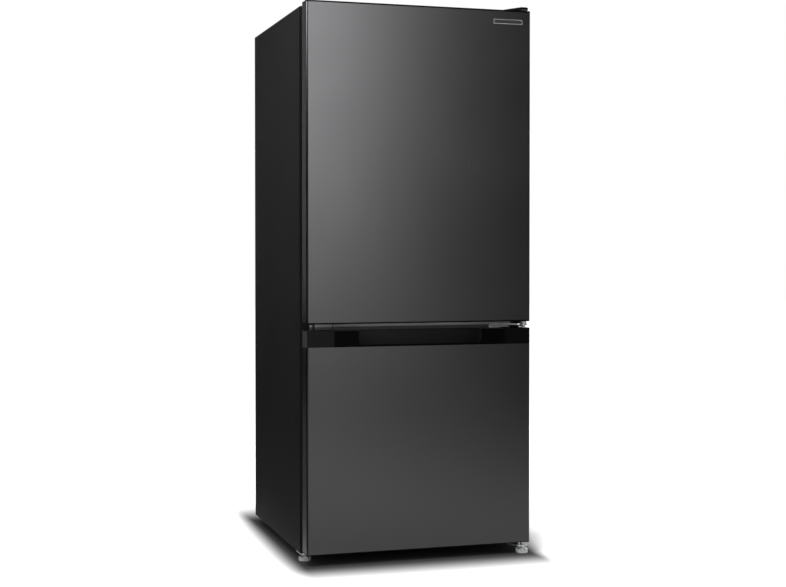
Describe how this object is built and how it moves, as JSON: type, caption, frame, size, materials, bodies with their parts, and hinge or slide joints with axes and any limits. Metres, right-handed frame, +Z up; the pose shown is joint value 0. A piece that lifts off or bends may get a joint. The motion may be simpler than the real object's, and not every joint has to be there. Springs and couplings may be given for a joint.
{
  "type": "bottom freezer refrigerator",
  "caption": "Freestanding refrigerator with a fridge door over a bottom freezer door, recessed grip between them, shelves, drawers, door bins and an open compressor bay.",
  "frame": {"origin": "on the floor, in the middle of the appliance's width and depth", "axes": "+X to the right seen from the front, +Y to the back, +Z up"},
  "size_m": [0.6, 0.636, 1.427],
  "materials": {
    "cabinet_paint": "satin",
    "galvanised_steel": "satin",
    "rail_paint": "satin",
    "dark_brushed_steel": "satin",
    "gloss_black_plastic": "gloss",
    "matte_black_plastic": "matte",
    "liner_white": "gloss",
    "white_plastic": "satin",
    "grey_plastic": "satin",
    "clear_plastic": "gloss",
    "lamp_plastic": "satin",
    "shelf_glass": "polished",
    "rigid_foam": "matte",
    "gasket_rubber": "matte",
    "grommet_rubber": "matte",
    "compressor_paint": "satin",
    "copper": "satin",
    "fin_aluminium": "satin",
    "zinc_plated_steel": "satin"
  },
  "bodies": {
    "cabinet": {"outer_wrap": "cabinet_paint", "back_panel": "galvanised_steel", "bottom_panel": "galvanised_steel", "centre_rail": "rail_paint", "rail_blank_cover": "grey_plastic", "insulation_foam": "rigid_foam", "fridge_liner": "liner_white", "freezer_liner": "liner_white", "control_housing": "white_plastic", "lamp_cover": "lamp_plastic", "fridge_duct": "white_plastic", "glass_shelf_1": "shelf_glass", "glass_shelf_2": "shelf_glass", "glass_shelf_3": "shelf_glass", "shelf_trims": "white_plastic", "crisper_cover": "shelf_glass", "drawer_runners": "white_plastic", "evaporator_cover": "white_plastic", "evaporator": "fin_aluminium", "fan_motor": "matte_black_plastic", "compressor_base": "galvanised_steel", "compressor": "compressor_paint", "compressor_grommets": "grommet_rubber", "relay_cover": "matte_black_plastic", "drain_pan": "white_plastic", "filter_drier": "copper", "refrigerant_pipes": "copper", "roller_brackets": "zinc_plated_steel", "left_foot_bracket": "zinc_plated_steel", "bottom_hinge": "zinc_plated_steel", "middle_hinge": "zinc_plated_steel", "top_hinge": "zinc_plated_steel", "top_hinge_cover": "matte_black_plastic", "hinge_screws": "zinc_plated_steel"},
    "upper_door": {"upper_door_skin": "dark_brushed_steel", "upper_door_top_cap": "matte_black_plastic", "upper_door_bottom_cap": "matte_black_plastic", "upper_door_foam": "rigid_foam", "upper_door_inner_panel": "liner_white", "upper_door_gasket": "gasket_rubber", "door_bin_bottom": "clear_plastic", "door_bin_middle": "clear_plastic", "door_bin_top": "clear_plastic"},
    "freezer_door": {"freezer_door_skin": "dark_brushed_steel", "freezer_door_handle_cap": "gloss_black_plastic", "freezer_door_bottom_cap": "matte_black_plastic", "freezer_door_foam": "rigid_foam", "freezer_door_inner_panel": "liner_white", "freezer_door_gasket": "gasket_rubber"},
    "crisper_drawer": {"crisper_drawer": "clear_plastic"},
    "freezer_drawer_bottom": {"freezer_drawer_bottom": "clear_plastic"},
    "freezer_drawer_middle": {"freezer_drawer_middle": "clear_plastic"},
    "freezer_drawer_top": {"freezer_drawer_top": "clear_plastic"},
    "temperature_knob": {"temperature_knob": "white_plastic"},
    "light_switch_plunger": {"light_switch_plunger": "white_plastic"},
    "evaporator_fan": {"evaporator_fan": "matte_black_plastic"},
    "levelling_foot_left": {"levelling_foot_left": "zinc_plated_steel"},
    "levelling_foot_right": {"levelling_foot_right": "zinc_plated_steel"},
    "rear_roller_left": {"rear_roller_left": "matte_black_plastic"},
    "rear_roller_right": {"rear_roller_right": "matte_black_plastic"}
  },
  "joints": [
    {"name": "upper_door_swing", "type": "hinge", "parent": "cabinet", "child": "upper_door", "pos_m": [0.288, -0.301, 0.608], "axis": [0, 0, 1], "range_deg": [0, 130]},
    {"name": "freezer_door_swing", "type": "hinge", "parent": "cabinet", "child": "freezer_door", "pos_m": [0.288, -0.301, 0.029], "axis": [0, 0, 1], "range_deg": [0, 130]},
    {"name": "crisper_slide", "type": "slide", "parent": "cabinet", "child": "crisper_drawer", "axis": [0, -1, 0], "range_m": [0, 0.1902]},
    {"name": "freezer_drawer_bottom_slide", "type": "slide", "parent": "cabinet", "child": "freezer_drawer_bottom", "axis": [0, -1, 0], "range_m": [0, 0.1652]},
    {"name": "freezer_drawer_middle_slide", "type": "slide", "parent": "cabinet", "child": "freezer_drawer_middle", "axis": [0, -1, 0], "range_m": [0, 0.1252]},
    {"name": "freezer_drawer_top_slide", "type": "slide", "parent": "cabinet", "child": "freezer_drawer_top", "axis": [0, -1, 0], "range_m": [0, 0.0852]},
    {"name": "light_switch_press", "type": "slide", "parent": "cabinet", "child": "light_switch_plunger", "axis": [0, -1, 0], "range_m": [0, 0.0062]},
    {"name": "temperature_knob_turn", "type": "hinge", "parent": "cabinet", "child": "temperature_knob", "pos_m": [-0.075, -0.1955, 1.349], "axis": [0, -1, 0], "range_deg": [0, 270]},
    {"name": "evaporator_fan_spin", "type": "hinge", "parent": "cabinet", "child": "evaporator_fan", "pos_m": [0, 0.204, 0.498], "axis": [0, -1, 0], "continuous": true},
    {"name": "levelling_foot_left_turn", "type": "hinge", "parent": "cabinet", "child": "levelling_foot_left", "pos_m": [-0.284, -0.2285, 0], "axis": [0, 0, 1], "continuous": true},
    {"name": "levelling_foot_right_turn", "type": "hinge", "parent": "cabinet", "child": "levelling_foot_right", "pos_m": [0.284, -0.302, 0], "axis": [0, 0, 1], "continuous": true},
    {"name": "rear_roller_left_spin", "type": "hinge", "parent": "cabinet", "child": "rear_roller_left", "pos_m": [-0.258, 0.286, 0.014], "axis": [1, 0, 0], "continuous": true},
    {"name": "rear_roller_right_spin", "type": "hinge", "parent": "cabinet", "child": "rear_roller_right", "pos_m": [0.258, 0.286, 0.014], "axis": [1, 0, 0], "continuous": true}
  ],
  "couplings": [
    {"joint": "crisper_slide", "follows": "upper_door_swing", "m_per_rad": 0.08374},
    {"joint": "light_switch_press", "follows": "upper_door_swing", "m_per_rad": 0.002644},
    {"joint": "freezer_drawer_bottom_slide", "follows": "freezer_door_swing", "m_per_rad": 0.072722},
    {"joint": "freezer_drawer_middle_slide", "follows": "freezer_door_swing", "m_per_rad": 0.055092},
    {"joint": "freezer_drawer_top_slide", "follows": "freezer_door_swing", "m_per_rad": 0.037463}
  ]
}
